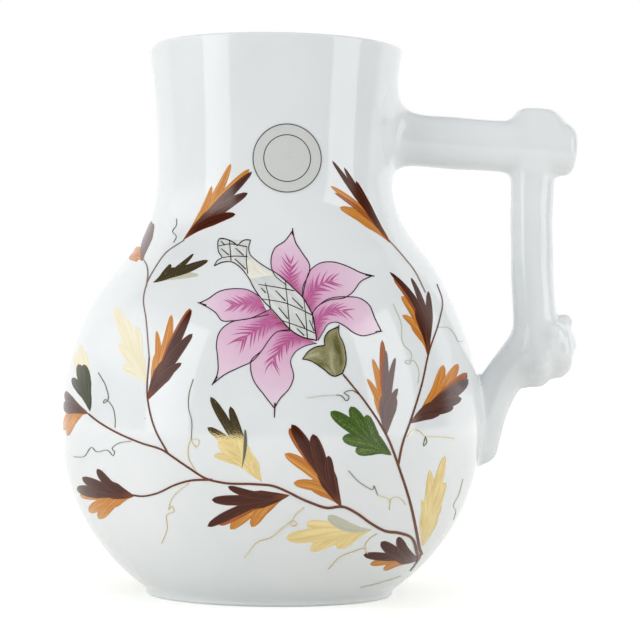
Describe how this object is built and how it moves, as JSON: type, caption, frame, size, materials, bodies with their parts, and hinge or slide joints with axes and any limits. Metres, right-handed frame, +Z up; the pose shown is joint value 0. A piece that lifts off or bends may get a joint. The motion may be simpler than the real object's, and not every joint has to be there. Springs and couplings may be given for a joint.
{
  "type": "ewer",
  "caption": "Porcelain ewer with a round belly, a wide flared neck with a small pouring lip, and a rustic branch handle.",
  "frame": {"origin": "centre of the foot ring's resting face", "axes": "+Z up along the body's axis, +X towards the handle, with the pouring lip at -X and the painted front at -Y"},
  "size_m": [0.1927, 0.157, 0.2035],
  "materials": {
    "porcelain": "clear gloss glaze over white porcelain, painted in enamels and gilt",
    "label_paper": "matt printed paper"
  },
  "bodies": {
    "root": {"body": "porcelain", "handle_upper_limb": "porcelain", "handle_upright": "porcelain", "handle_lower_limb": "porcelain", "label": "label_paper"}
  },
  "joints": []
}
